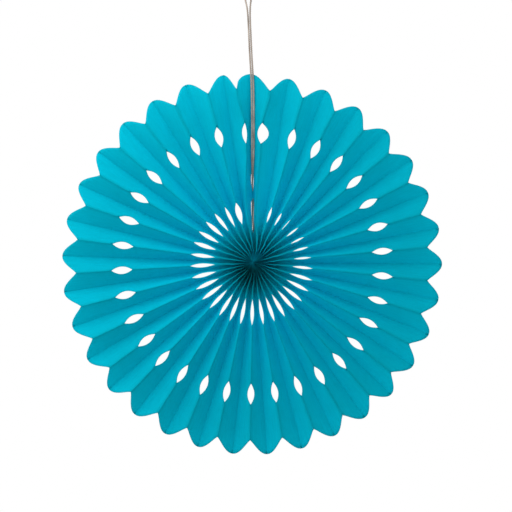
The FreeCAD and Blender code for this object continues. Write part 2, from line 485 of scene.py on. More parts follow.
# How far the folds have drifted round the ring from their even places, in degrees: a start at the
# seam, a gain by the time the ring closes, and waves of the angle from the seam
DRIFT_START = -1.68
DRIFT_GAIN = 2.4
DRIFT_WAVES = [("COSINE", 1.0, -0.35), ("SINE", 1.0, 0.64), ("COSINE", 2.0, 0.18)]
# How the glue and the knot draw single folds aside: the fold, counted from the seam, a turn in
# degrees, and the radii between which it grows
FOLD_PULLS = [
    (0, 0.4, 0.020, 0.036),
    (0, 1.5, 0.058, 0.165),
    (0, 0.7, 0.066, 0.100),
    (1, 1.5, 0.028, 0.044),
    (1, 1.5, 0.058, 0.165),
    (1, -3.2, 0.066, 0.112),
    (1, 2.0, 0.150, 0.186),
    (-1, 5.3, 0.028, 0.044),
    (-1, -2.3, 0.058, 0.165),
    (-1, -1.1, 0.066, 0.112),
    (-1, -1.9, 0.150, 0.186),
    (-13, 7.0, 0.026, 0.008),
    (-15, -3.0, 0.026, 0.008),
]
# Nearer the hub the cord spreads the folds on both sides of the seam: the first and the last fold
# that it turns, counted from the seam, and the turn in degrees at each
SPREADS = [(1, 9, 1.5, 0.0), (-16, -2, 0.0, -2.3)]
SPREAD_SPAN = (0.058, 0.165)
# Holes that are cut wider or narrower than the rest, by the near fold that they are on
INNER_CHANGES = [(-7, 0.4), (3, 1.4), (5, 0.85), (-1, 0.0), (1, 0.0)]
OUTER_CHANGES = [(-1, 1.35), (1, 0.85)]
# The inner holes are shortest and narrowest where the folds are pressed together, and start
# further out towards the top
NARROW_SIDE = math.radians(38.0)
NARROW_REACH = 0.45
NARROW_SHARE = 0.5
NARROW_START = 0.003
NARROW_END = -0.005
UPPER_START = 0.0019
HOLE_UNEVENNESS = 0.08
# The rim: tips a little uneven, longer at the top and bottom than at the sides, a dip at the upper
# right, and a squarer half petal at the seam
PETAL_UNEVENNESS = 0.0004
TIP_REACH = 0.0006
UPRIGHT_REACH = 0.001
DIP_SIDE = math.radians(68.0)
DIP_REACH = 0.85
DIP_DEPTH = 0.0025
SEAM_PETAL_POWER = 0.45
# The knot draws the hub aside, less and less out to the rim, and its middle a little more
HUB_SHIFT = (0.0011, 0.0018)
HUB_SHIFT_END = 0.190
MIDDLE_SHIFT = (0.0024, -0.0006)
MIDDLE_SHIFT_END = 0.030
# Inside the inner holes the pleats are crushed: each fold has its own turn and depth, they bunch
# and crinkle, and the bore leans over and closes
CRUSHED_RADIUS = 0.040
CRUSH_TURN = math.radians(7.0)
CRUSH_LOBES = 2.2
CRINKLE_TURN = math.radians(6.0)
CRINKLE_LOBES = 9.0
CRINKLE_LENGTH = 0.006
OWN_TURN = math.radians(3.6)
OWN_DEPTH = 0.0022
BORE_LEAN = (0.0052, -0.002)
LEAN_RADIUS = 0.013


def panel_width(sizes):
    return math.hypot(math.pi / sizes.pleats * sizes.rim_radius, sizes.rim_fold_depth)


def flat_panel(sizes):
    """One panel of the strip laid flat, from its near fold to its far one, and from bore to rim."""
    radii = [BORE_RADIUS]
    for end, count in STRETCHES:
        start = radii[-1]
        radii += [start + (end - start) * step / count for step in range(1, count + 1)]
    shares = [step / PANEL_STEPS for step in range(PANEL_STEPS + 1)]
    width = panel_width(sizes)
    points = [(share * width, radius, 0.0) for radius in radii for share in shares]
    columns = len(shares)
    faces = []
    for row in range(len(radii) - 1):
        for column in range(PANEL_STEPS):
            corner = row * columns + column
            faces.append((corner, corner + 1, corner + 1 + columns, corner + columns))
    mesh = bpy.data.meshes.new("flat_panel")
    mesh.from_pydata(points, [], faces)
    for name, values in (("across", shares * len(radii)), ("along", [p[1] for p in points])):
        mesh.attributes.new(name, "FLOAT", "POINT").data.foreach_set("value", values)
    return mesh


# The tree's inputs, beside the pleats and the panel's width, and the sizes that they take
FAN_INPUTS = {
    "Rim radius": "rim_radius",
    "Scallop depth": "scallop_depth",
    "Seam angle": "seam_angle",
    "Uneven spread": "uneven_spread",
    "Fold wander": "fold_wander",
    "Inner cut": "inner_cut",
    "Outer cut": "outer_cut",
}
PANELS_A_PLEAT = 2.0
FULL_TURN = 360.0
# A hole's edge is a hump, x (1 - x) along its span, which this brings up to 1 in the middle
FULL_HUMP = 4.0
GAP_STEEPNESS = 2.0
FOLD_SEED = 7
HOLE_SEED = 11
PETAL_SEED = 5
TONE_SEED = 3
OWN_TURN_SEED = 17
OWN_DEPTH_SEED = 23
# How much of a panel's tone is painted light and shade by its side of the pleat. The rest is
# chance.
SIDE_SHADE_SHARE = 0.65
# Points this close are one, an edge this sharp is a fold, and numbers this close are the same
WELD = 0.00001
FOLD_EDGE = math.radians(28.0)
SAME = 0.1


def counted(tree, count, number):
    """A fold's number from the seam. A negative one counts back from the ring's end."""
    if number < 0:
        return add(tree, "ShaderNodeMath", {0: count, 1: float(number)}, operation="ADD")
    return float(number)


def fold_directions(tree, asked, count, fold_angle, folds, along):
    """Which way a panel's two folds lie from the hub, and each one's own depth where crushed."""
    least = add(tree, "ShaderNodeMath", {0: asked["Fold wander"], 1: -1.0}, operation="MULTIPLY")
    crushed = add(
        tree,
        "ShaderNodeMapRange",
        {"Value": along, "From Max": CRUSHED_RADIUS, "To Min": 1.0, "To Max": 0.0},
        interpolation_type="SMOOTHSTEP",
    )
    spreading = add(
        tree,
        "ShaderNodeMapRange",
        {
            "Value": along,
            "From Min": SPREAD_SPAN[0],
            "From Max": SPREAD_SPAN[1],
            "To Min": 1.0,
            "To Max": 0.0,
        },
    )
    inward = add(tree, "ShaderNodeMath", {0: along, 1: 1.0 / CRINKLE_LENGTH}, operation="MULTIPLY")
    directions, own_depths = [], []
    for fold in folds:
        own = add(tree, "ShaderNodeMath", {0: fold, 1: count}, operation="MODULO")
        angle = add(tree, "ShaderNodeMath", {0: own, 1: fold_angle}, operation="MULTIPLY")
        stretch = 1.0 + DRIFT_GAIN / FULL_TURN
        even = add(
            tree,
            "ShaderNodeMath",
            {0: angle, 1: stretch, 2: math.radians(DRIFT_START)},
            operation="MULTIPLY_ADD",
        )
        even = add(tree, "ShaderNodeMath", {0: even, 1: asked["Seam angle"]}, operation="ADD")
        wave = add(tree, "ShaderNodeMath", {0: angle}, operation="SINE")
        even = add(
            tree,
            "ShaderNodeMath",
            {0: wave, 1: asked["Uneven spread"], 2: even},
            operation="MULTIPLY_ADD",
        )
        for turn, times, degrees in DRIFT_WAVES:
            scaled = add(tree, "ShaderNodeMath", {0: angle, 1: times}, operation="MULTIPLY")
            wave = add(tree, "ShaderNodeMath", {0: scaled}, operation=turn)
            even = add(
                tree,
                "ShaderNodeMath",
                {0: wave, 1: math.radians(degrees), 2: even},
                operation="MULTIPLY_ADD",
            )
        # The last panel ends on fold 0, a whole turn on
        past = add(tree, "ShaderNodeMath", {0: fold, 1: own}, operation="SUBTRACT")
        turned = add(
            tree, "ShaderNodeMath", {0: past, 1: fold_angle, 2: even}, operation="MULTIPLY_ADD"
        )
        wander = add(
            tree,
            "FunctionNodeRandomValue",
            {"Min": least, "Max": asked["Fold wander"], "ID": own, "Seed": FOLD_SEED},
            data_type="FLOAT",
        )
        turned = add(tree, "ShaderNodeMath", {0: turned, 1: wander}, operation="ADD")
        for number, pull, start, end in FOLD_PULLS:
            wanted = counted(tree, count, number)
            here = add(tree, "ShaderNodeMath", {0: own, 1: wanted, 2: SAME}, operation="COMPARE")
            drawn = add(
                tree,
                "ShaderNodeMapRange",
                {"Value": along, "From Min": start, "From Max": end, "To Max": math.radians(pull)},
            )
            turned = add(
                tree, "ShaderNodeMath", {0: drawn, 1: here, 2: turned}, operation="MULTIPLY_ADD"
            )
        for first, last, at_first, at_last in SPREADS:
            parted = add(
                tree,
                "ShaderNodeMapRange",
                {
                    "Value": own,
                    "From Min": counted(tree, count, first),
                    "From Max": counted(tree, count, last),
                    "To Min": math.radians(at_first),
                    "To Max": math.radians(at_last),
                },
            )
            turned = add(
                tree,
                "ShaderNodeMath",
                {0: parted, 1: spreading, 2: turned},
                operation="MULTIPLY_ADD",
            )
        own_turn, own_depth = (
            add(
                tree,
                "FunctionNodeRandomValue",
                {"Min": -most, "Max": most, "ID": own, "Seed": seed},
                data_type="FLOAT",
            )
            for seed, most in ((OWN_TURN_SEED, OWN_TURN), (OWN_DEPTH_SEED, OWN_DEPTH))
        )
        turned = add(
            tree, "ShaderNodeMath", {0: own_turn, 1: crushed, 2: turned}, operation="MULTIPLY_ADD"
        )
        own_depths.append(
            add(tree, "ShaderNodeMath", {0: own_depth, 1: crushed}, operation="MULTIPLY")
        )
        level, rise = (
            add(tree, "ShaderNodeMath", {0: even}, operation=turn) for turn in ("COSINE", "SINE")
        )
        for lobes, length, turn in (
            (CRUSH_LOBES, 0.0, CRUSH_TURN),
            (CRINKLE_LOBES, 1.0, CRINKLE_TURN),
        ):
            spot = add(
                tree,
                "ShaderNodeCombineXYZ",
                {
                    0: add(tree, "ShaderNodeMath", {0: level, 1: lobes}, operation="MULTIPLY"),
                    1: add(tree, "ShaderNodeMath", {0: rise, 1: lobes}, operation="MULTIPLY"),
                    2: add(tree, "ShaderNodeMath", {0: inward, 1: length}, operation="MULTIPLY"),
                },
            )
            noise = add(tree, "ShaderNodeTexNoise", {"Vector": spot, "Scale": 1.0, "Detail": 1.0})
            bunch = add(
                tree,
                "ShaderNodeMapRange",
                {"Value": noise, "To Min": -turn, "To Max": turn},
                clamp=False,
            )
            turned = add(
                tree, "ShaderNodeMath", {0: bunch, 1: crushed, 2: turned}, operation="MULTIPLY_ADD"
            )
        directions.append(turned)
    return directions, own_depths


def share_after_cuts(tree, asked, count, near, near_angle, end_panels, along, across):
    """A point's share of the way across its panel, once the cuts beside the folds have moved it."""
    facing = add(tree, "ShaderNodeMath", {0: near_angle, 1: NARROW_SIDE}, operation="SUBTRACT")
    toward = add(tree, "ShaderNodeMath", {0: facing}, operation="COSINE")
    pressed = add(
        tree,
        "ShaderNodeMapRange",
        {"Value": toward, "From Min": NARROW_REACH},
        interpolation_type="SMOOTHSTEP",
    )
    upward = add(tree, "ShaderNodeMath", {0: near_angle}, operation="SINE")
    start = add(
        tree,
        "ShaderNodeMath",
        {0: upward, 1: UPPER_START, 2: INNER_HOLE[0]},
        operation="MULTIPLY_ADD",
    )
    start = add(
        tree, "ShaderNodeMath", {0: pressed, 1: NARROW_START, 2: start}, operation="MULTIPLY_ADD"
    )
    end = add(
        tree,
        "ShaderNodeMath",
        {0: pressed, 1: NARROW_END, 2: INNER_HOLE[1]},
        operation="MULTIPLY_ADD",
    )
    depths = []
    for span in ((start, end), OUTER_HOLE, SLIT, SEAM_GAP):
        place = add(
            tree, "ShaderNodeMapRange", {"Value": along, "From Min": span[0], "From Max": span[1]}
        )
        rest = add(tree, "ShaderNodeMath", {0: 1.0, 1: place}, operation="SUBTRACT")
        hump = add(tree, "ShaderNodeMath", {0: place, 1: rest}, operation="MULTIPLY")
        depths.append(add(tree, "ShaderNodeMath", {0: hump, 1: FULL_HUMP}, operation="MULTIPLY"))
    inner, outer, slit, gap = depths
    # The gap opens quickly at its two ends and keeps one width between them
    gap = add(
        tree, "ShaderNodeMath", {0: gap, 1: GAP_STEEPNESS}, operation="MULTIPLY", use_clamp=True
    )
    narrowing = add(
        tree,
        "ShaderNodeMath",
        {0: pressed, 1: NARROW_SHARE - 1.0, 2: 1.0},
        operation="MULTIPLY_ADD",
    )
    near_cut = 0.0
    for hump, cut, changes, factor in (
        (inner, asked["Inner cut"], INNER_CHANGES, narrowing),
        (outer, asked["Outer cut"], OUTER_CHANGES, 1.0),
    ):
        uneven = add(
            tree,
            "FunctionNodeRandomValue",
            {
                "Min": 1.0 - HOLE_UNEVENNESS,
                "Max": 1.0 + HOLE_UNEVENNESS,
                "ID": near,
                "Seed": HOLE_SEED,
            },
            data_type="FLOAT",
        )
        factor = add(tree, "ShaderNodeMath", {0: uneven, 1: factor}, operation="MULTIPLY")
        for number, change in changes:
            wanted = counted(tree, count, number)
            here = add(tree, "ShaderNodeMath", {0: near, 1: wanted, 2: SAME}, operation="COMPARE")
            changed = add(
                tree, "ShaderNodeMath", {0: here, 1: change - 1.0, 2: 1.0}, operation="MULTIPLY_ADD"
            )
            factor = add(tree, "ShaderNodeMath", {0: factor, 1: changed}, operation="MULTIPLY")
        deep = add(tree, "ShaderNodeMath", {0: factor, 1: cut}, operation="MULTIPLY")
        near_cut = add(
            tree, "ShaderNodeMath", {0: hump, 1: deep, 2: near_cut}, operation="MULTIPLY_ADD"
        )
    slit_cut = add(tree, "ShaderNodeMath", {0: slit, 1: SLIT_CUT}, operation="MULTIPLY")
    far_cut = 0.0
    for end_panel, cut in zip(end_panels, (GAP_LEFT_CUT, GAP_RIGHT_CUT)):
        open_cut = add(
            tree, "ShaderNodeMath", {0: gap, 1: cut, 2: slit_cut}, operation="MULTIPLY_ADD"
        )
        far_cut = add(
            tree,
            "ShaderNodeMath",
            {0: open_cut, 1: end_panel, 2: far_cut},
            operation="MULTIPLY_ADD",
        )
    near_share, lost = (
        add(tree, "ShaderNodeMath", {0: cut, 1: asked["Panel width"]}, operation="DIVIDE")
        for cut in (near_cut, far_cut)
    )
    far_share = add(tree, "ShaderNodeMath", {0: 1.0, 1: lost}, operation="SUBTRACT")
    return add(
        tree, "ShaderNodeMapRange", {"Value": across, "To Min": near_share, "To Max": far_share}
    )


def scalloped_radius(tree, asked, count, far, first_panel, along, share, angle):
    """How far from the hub a point lies, out to the scalloped rim.

    The rim is lowest at the near folds and highest at the far ones. Its dip and its longer petals
    go by the point's own direction, so that two panels agree at a fold they share.
    """
    facing = add(tree, "ShaderNodeMath", {0: angle, 1: DIP_SIDE}, operation="SUBTRACT")
    toward = add(tree, "ShaderNodeMath", {0: facing}, operation="COSINE")
    dipped = add(
        tree,
        "ShaderNodeMapRange",
        {"Value": toward, "From Min": DIP_REACH},
        interpolation_type="SMOOTHSTEP",
    )
    upright = add(tree, "ShaderNodeMath", {0: angle}, operation="SINE")
    upright = add(tree, "ShaderNodeMath", {0: upright, 1: upright}, operation="MULTIPLY")
    quarter = add(tree, "ShaderNodeMath", {0: share, 1: math.pi / 2.0}, operation="MULTIPLY")
    sine = add(tree, "ShaderNodeMath", {0: quarter}, operation="SINE")
    power = add(
        tree,
        "ShaderNodeMath",
        {0: first_panel, 1: SEAM_PETAL_POWER - SCALLOP_POWER, 2: SCALLOP_POWER},
        operation="MULTIPLY_ADD",
    )
    height = add(tree, "ShaderNodeMath", {0: sine, 1: power}, operation="POWER")
    drop = add(tree, "ShaderNodeMath", {0: 1.0, 1: height}, operation="SUBTRACT")
    own_far = add(tree, "ShaderNodeMath", {0: far, 1: count}, operation="MODULO")
    taller = add(
        tree,
        "FunctionNodeRandomValue",
        {"Min": -PETAL_UNEVENNESS, "Max": PETAL_UNEVENNESS, "ID": own_far, "Seed": PETAL_SEED},
        data_type="FLOAT",
    )
    taller = add(
        tree, "ShaderNodeMath", {0: upright, 1: UPRIGHT_REACH, 2: taller}, operation="MULTIPLY_ADD"
    )
    taller = add(
        tree, "ShaderNodeMath", {0: taller, 1: height, 2: TIP_REACH}, operation="MULTIPLY_ADD"
    )
    taller = add(
        tree, "ShaderNodeMath", {0: dipped, 1: -DIP_DEPTH, 2: taller}, operation="MULTIPLY_ADD"
    )
    lower = add(
        tree, "ShaderNodeMath", {0: drop, 1: asked["Scallop depth"]}, operation="MULTIPLY"
    )
    change = add(tree, "ShaderNodeMath", {0: taller, 1: lower}, operation="SUBTRACT")
    beyond = add(
        tree,
        "ShaderNodeMapRange",
        {"Value": along, "From Min": OUTER_HOLE[1], "From Max": asked["Rim radius"]},
    )
    return add(tree, "ShaderNodeMath", {0: beyond, 1: change, 2: along}, operation="MULTIPLY_ADD")


def folded_place(tree, width, fold_angle, own_depths, along, share, radius, angle):
    """A point's place in the opened ring.

    As the folds spread apart towards the rim they come closer together from front to back.
    """
    apart = add(tree, "ShaderNodeMath", {0: radius, 1: fold_angle}, operation="MULTIPLY")
    slope = add(tree, "ShaderNodeMath", {0: apart, 1: width}, operation="DIVIDE")
    lean = add(tree, "ShaderNodeMath", {0: slope}, operation="ARCSINE")
    steepness = add(tree, "ShaderNodeMath", {0: lean}, operation="COSINE")
    depth = add(tree, "ShaderNodeMath", {0: steepness, 1: width}, operation="MULTIPLY")
    middle = add(tree, "ShaderNodeMath", {0: share, 1: 0.5}, operation="SUBTRACT")
    own_depth = add(
        tree,
        "ShaderNodeMix",
        {"Factor": share, "A": own_depths[0], "B": own_depths[1]},
        data_type="FLOAT",
    )
    back = add(
        tree, "ShaderNodeMath", {0: middle, 1: depth, 2: own_depth}, operation="MULTIPLY_ADD"
    )
    leaning = add(
        tree,
        "ShaderNodeMapRange",
        {"Value": along, "From Max": LEAN_RADIUS, "To Min": middle, "To Max": 0.0},
    )
    hub_held, middle_held = (
        add(
            tree,
            "ShaderNodeMapRange",
            {"Value": along, "From Max": reach, "To Min": 1.0, "To Max": 0.0},
        )
        for reach in (HUB_SHIFT_END, MIDDLE_SHIFT_END)
    )
    sides = []
    for turn, *shifts in zip(("COSINE", "SINE"), BORE_LEAN, HUB_SHIFT, MIDDLE_SHIFT):
        reach = add(tree, "ShaderNodeMath", {0: angle}, operation=turn)
        side_place = add(tree, "ShaderNodeMath", {0: reach, 1: radius}, operation="MULTIPLY")
        for held, shift in zip((leaning, hub_held, middle_held), shifts):
            side_place = add(
                tree,
                "ShaderNodeMath",
                {0: held, 1: shift, 2: side_place},
                operation="MULTIPLY_ADD",
            )
        sides.append(side_place)
    return add(tree, "ShaderNodeCombineXYZ", {0: sides[0], 1: back, 2: sides[1]})


def fan_tree(material):
    """Repeats the flat panel for each side of each pleat, folds it to and fro, opens the ring."""
    tree = bpy.data.node_groups.new("Pleated fan", "GeometryNodeTree")
    face = tree.interface
    face.new_socket("Panel", in_out="INPUT", socket_type="NodeSocketGeometry")
    face.new_socket("Pleats", in_out="INPUT", socket_type="NodeSocketInt")
    for name in ("Panel width", *FAN_INPUTS):
        face.new_socket(name, in_out="INPUT", socket_type="NodeSocketFloat")
    face.new_socket("Fan", in_out="OUTPUT", socket_type="NodeSocketGeometry")
    asked = add(tree, "NodeGroupInput").outputs

    count = add(
        tree, "ShaderNodeMath", {0: asked["Pleats"], 1: PANELS_A_PLEAT}, operation="MULTIPLY"
    )
    places = add(tree, "GeometryNodeMeshLine", {"Count": count})
    panels = add(
        tree, "GeometryNodeInstanceOnPoints", {"Points": places, "Instance": asked["Panel"]}
    )
    numbered = add(
        tree,
        "GeometryNodeStoreNamedAttribute",
        {"Geometry": panels, "Name": "panel", "Value": add(tree, "GeometryNodeInputIndex")},
        data_type="FLOAT",
        domain="INSTANCE",
    )
    strip = add(tree, "GeometryNodeRealizeInstances", {0: numbered})

    # Fold 0 is the far one at the seam. A panel runs from its near, odd fold to a far, even one,
    # which lies on one side of the near one or the other.
    panel, across, along = (
        add(tree, "GeometryNodeInputNamedAttribute", {"Name": name}, data_type="FLOAT")
        for name in ("panel", "across", "along")
    )
    half = add(tree, "ShaderNodeMath", {0: panel, 1: PANELS_A_PLEAT}, operation="DIVIDE")
    pleat = add(tree, "ShaderNodeMath", {0: half}, operation="FLOOR")
    near = add(
        tree, "ShaderNodeMath", {0: pleat, 1: PANELS_A_PLEAT, 2: 1.0}, operation="MULTIPLY_ADD"
    )
    odd = add(tree, "ShaderNodeMath", {0: panel, 1: PANELS_A_PLEAT}, operation="MODULO")
    side = add(tree, "ShaderNodeMath", {0: odd, 1: 2.0, 2: -1.0}, operation="MULTIPLY_ADD")
    far = add(tree, "ShaderNodeMath", {0: near, 1: side}, operation="ADD")
    fold_angle = add(tree, "ShaderNodeMath", {0: math.pi, 1: asked["Pleats"]}, operation="DIVIDE")
    (near_angle, far_angle), own_depths = fold_directions(
        tree, asked, count, fold_angle, (near, far), along
    )

    # The strip's first and last panels lie left and right of the seam
    last = add(tree, "ShaderNodeMath", {0: count, 1: 1.0}, operation="SUBTRACT")
    first_panel, last_panel = (
        add(tree, "ShaderNodeMath", {0: panel, 1: wanted, 2: SAME}, operation="COMPARE")
        for wanted in (0.0, last)
    )
    share = share_after_cuts(
        tree, asked, count, near, near_angle, (first_panel, last_panel), along, across
    )
    angle = add(
        tree, "ShaderNodeMix", {"Factor": share, "A": near_angle, "B": far_angle}, data_type="FLOAT"
    )
    radius = scalloped_radius(tree, asked, count, far, first_panel, along, share, angle)
    place = folded_place(
        tree, asked["Panel width"], fold_angle, own_depths, along, share, radius, angle
    )
    folded = add(tree, "GeometryNodeSetPosition", {"Geometry": strip, "Position": place})
    # One side of each pleat is painted lighter than the other, as light from one side would make
    # it, and each panel has its own tone
    tone_and_side_shade = add(
        tree, "FunctionNodeRandomValue", {"ID": panel, "Seed": TONE_SEED}, data_type="FLOAT"
    )
    lit_side = add(tree, "ShaderNodeMath", {0: 1.0, 1: odd}, operation="SUBTRACT")
    tone_and_side_shade = add(
        tree, "ShaderNodeMix", {"Factor": SIDE_SHADE_SHARE, "A": tone_and_side_shade, "B": lit_side}, data_type="FLOAT"
    )
    toned = add(
        tree,
        "GeometryNodeStoreNamedAttribute",
        {"Geometry": folded, "Name": "tone_and_side_shade", "Value": tone_and_side_shade},
        data_type="FLOAT",
        domain="FACE",
    )
    welded = add(tree, "GeometryNodeMergeByDistance", {"Geometry": toned, "Distance": WELD})
    whole = add(tree, "GeometryNodeRealizeInstances", {0: welded})
    dyed = add(tree, "GeometryNodeSetMaterial", {"Geometry": whole, "Material": material})
    add(tree, "NodeGroupOutput", {0: dyed})
    return tree


# The share of the light that the paper scatters through it
LET_THROUGH = 0.5
# Streaks are 1 mm wide and about 17 mm long, and differ from panel to panel. Fibres show every
# 0.7 mm, coarser than real ones.
STREAK_SCALE = (22.0, 60.0, 90.0)
STREAK_LEVELS = (0.9, 1.1)
PAPER_FIBRES_A_METRE = 1500.0
PAPER_FIBRE_LEVELS = (0.92, 1.08)
# The panels' tone, with the painted light and shade of each pleat's two sides
TONE_AND_SIDE_SHADE_LEVELS = (0.95, 1.05)
# Painted shade along both folds, the near ones most. The width is a share of the panel's.
FOLD_SHADE_WIDTH = 0.18
NEAR_FOLD_SHADE = 0.88
FAR_FOLD_SHADE = 0.97
# The radii over which the painted light of the hub fades out: out from the hub, and out of its
# packed folds
HUB_LIGHT_SPAN = (0.03, 0.17)
FOLD_DEPTH_LIGHT_SPAN = (0.030, 0.062)
# In the hub the near folds are painted light and the rest painted darker, most of all in a pool of
# painted shade below the middle
RIDGE_LIGHT_SPAN = (0.016, 0.044)
RIDGE_LIGHT_WIDTH = 0.14
RIDGE_LIGHT = 1.35
GROOVE_SHADE = 0.84
SHADE_POOL_PLACE = (-0.002, 0.0, -0.011)
SHADE_POOL_RADIUS = 0.024
SHADE_POOL_LEVEL = 0.7


def painted_hub_light_and_shade(tree, place, across, along):
    """Painted light and shade in the hub: light on its near folds, shade between them, and a pool
    of shade below the middle.
    """
    ridge_light = add(
        tree,
        "ShaderNodeMapRange",
        {"Value": across, "From Max": RIDGE_LIGHT_WIDTH, "To Min": RIDGE_LIGHT, "To Max": GROOVE_SHADE},
        interpolation_type="SMOOTHSTEP",
    )
    beyond_hub = add(
        tree,
        "ShaderNodeMapRange",
        {"Value": along, "From Min": RIDGE_LIGHT_SPAN[0], "From Max": RIDGE_LIGHT_SPAN[1]},
        interpolation_type="SMOOTHSTEP",
    )
    hub_ridge_light_level = add(
        tree, "ShaderNodeMix", {"Factor": beyond_hub, "A": ridge_light, "B": 1.0}, data_type="FLOAT"
    )
    flat_place = add(
        tree, "ShaderNodeVectorMath", {0: place, 1: (1.0, 0.0, 1.0)}, operation="MULTIPLY"
    )
    away = add(
        tree, "ShaderNodeVectorMath", {0: flat_place, 1: SHADE_POOL_PLACE}, operation="DISTANCE"
    ).outputs["Value"]
    shade_pool_level = add(
        tree,
        "ShaderNodeMapRange",
        {"Value": away, "From Max": SHADE_POOL_RADIUS, "To Min": SHADE_POOL_LEVEL, "To Max": 1.0},
        interpolation_type="SMOOTHSTEP",
    )
    return hub_ridge_light_level, shade_pool_level


def paper_colour_with_painted_hub_light(tree, along):
    """The dye's colour from the hub's packed folds out to the rim, with painted light: the hub and
    its packed folds are painted lighter.
    """
    sizes = bpy.context.scene.fan_sizes
    outward = add(
        tree,
        "ShaderNodeMapRange",
        {"Value": along, "From Min": HUB_LIGHT_SPAN[0], "From Max": HUB_LIGHT_SPAN[1]},
        interpolation_type="SMOOTHSTEP",
    )
    dye_with_hub_light = add(
        tree,
        "ShaderNodeMix",
        {"Factor": outward, "A": linear(sizes.hub_colour_with_painted_light), "B": linear(sizes.colour)},
        data_type="RGBA",
    )
    out_of_depth = add(
        tree,
        "ShaderNodeMapRange",
        {"Value": along, "From Min": FOLD_DEPTH_LIGHT_SPAN[0], "From Max": FOLD_DEPTH_LIGHT_SPAN[1]},
        interpolation_type="SMOOTHSTEP",
    )
    return add(
        tree,
        "ShaderNodeMix",
        {"Factor": out_of_depth, "A": linear(sizes.fold_depth_colour_with_painted_light), "B": dye_with_hub_light},
        data_type="RGBA",
    )


def dyed_paper():
    """Thin paper dyed teal: matt, lets light through, with painted shade along its folds, painted
    light and shade in the hub, and one side of each pleat painted lighter.
    """
    material, tree = new_material("dyed thin paper")
    across, along, tone_and_side_shade = (
        add(tree, "ShaderNodeAttribute", attribute_name=name).outputs["Fac"]
        for name in ("across", "along", "tone_and_side_shade")
    )
    place = add(tree, "ShaderNodeTexCoord").outputs["Object"]
    rest = add(tree, "ShaderNodeMath", {0: 1.0, 1: across}, operation="SUBTRACT")
    # Painted shade: darker towards the near and the far fold of each panel
    near_fold_shade, far_fold_shade = (
        add(
            tree,
            "ShaderNodeMapRange",
            {"Value": distance, "From Max": FOLD_SHADE_WIDTH, "To Min": shade_at_fold, "To Max": 1.0},
            interpolation_type="SMOOTHSTEP",
        )
        for distance, shade_at_fold in ((across, NEAR_FOLD_SHADE), (rest, FAR_FOLD_SHADE))
    )
    spot = add(tree, "ShaderNodeCombineXYZ", {0: across, 1: along, 2: tone_and_side_shade})
    stretched = add(tree, "ShaderNodeMapping", {"Vector": spot, "Scale": STREAK_SCALE})
    streaks = add(tree, "ShaderNodeTexNoise", {"Vector": stretched, "Scale": 1.0, "Detail": 3.0})
    fibres = add(
        tree, "ShaderNodeTexNoise", {"Vector": place, "Scale": PAPER_FIBRES_A_METRE, "Detail": 4.0}
    )
    streak_level, tone_and_side_shade_level, fibre_level = (
        add(tree, "ShaderNodeMapRange", {"Value": value, "To Min": low, "To Max": high})
        for value, (low, high) in (
            (streaks.outputs[0], STREAK_LEVELS),
            (tone_and_side_shade, TONE_AND_SIDE_SHADE_LEVELS),
            (fibres.outputs[0], PAPER_FIBRE_LEVELS),
        )
    )
    # The level gathers the painted shade of the folds, the pleats' sides and the hub, with the
    # paper's streaks, tone and fibres
    level = near_fold_shade
    for other in (
        far_fold_shade,
        streak_level,
        tone_and_side_shade_level,
        fibre_level,
        *painted_hub_light_and_shade(tree, place, across, along),
    ):
        level = add(tree, "ShaderNodeMath", {0: level, 1: other}, operation="MULTIPLY")
    colour = add(
        tree,
        "ShaderNodeMix",
        {"Factor": 1.0, "A": paper_colour_with_painted_hub_light(tree, along), "B": level},
        data_type="RGBA",
        blend_type="MULTIPLY",
    )
    bump = add(
        tree,
        "ShaderNodeBump",
        {"Height": fibres.outputs[0], "Strength": 0.25, "Distance": BUMP_DEPTH},
    )
    front = add(
        tree,
        "ShaderNodeBsdfPrincipled",
        {"Base Color": colour, "Roughness": 0.78, "Specular IOR Level": 0.05, "Normal": bump},
    )
    through = add(tree, "ShaderNodeBsdfTranslucent", {"Color": colour, "Normal": bump})
    both = add(tree, "ShaderNodeMixShader", {0: LET_THROUGH, 1: front, 2: through})
    add(tree, "ShaderNodeOutputMaterial", {"Surface": both})
    return material


class PAPERFAN_OT_fan(bpy.types.Operator):
    """Folds the paper strip and opens it to a full ring"""

    bl_idname = "paper_fan.fan"
    bl_label = "Paper fan"

    def execute(self, context):
        sizes = context.scene.fan_sizes
        tree = fan_tree(dyed_paper())
        folding = bpy.data.objects.new("folding", flat_panel(sizes))
        context.scene.collection.objects.link(folding)
        modifier = folding.modifiers.new("folds", "NODES")
        modifier.node_group = tree
        values = {name: getattr(sizes, size) for name, size in FAN_INPUTS.items()}
        values["Pleats"] = sizes.pleats
        values["Panel width"] = panel_width(sizes)
        for socket in tree.interface.items_tree:
            if socket.name in values:
                modifier[socket.identifier] = values[socket.name]
        graph = context.evaluated_depsgraph_get()
        mesh = bpy.data.meshes.new_from_object(folding.evaluated_get(graph))
        bpy.data.objects.remove(folding)
        mesh.name = "paper_strip"
        mesh.shade_smooth()
        mesh.set_sharp_from_angle(angle=FOLD_EDGE)
        strip = new_piece("paper_strip", mesh)
        thickness = strip.modifiers.new("thickness", "SOLIDIFY")
        thickness.thickness = PAPER_THICKNESS
        thickness.offset = 0.0
        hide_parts("paper_fan")
        return {"FINISHED"}


# The tie: cotton thread, soft and matt. The scale draws its twist as fine slanting bands.
TWIST_SCALE = 500.0
THREAD_SHADE = "#006E84"
THREAD_LIGHT = "#0093AC"


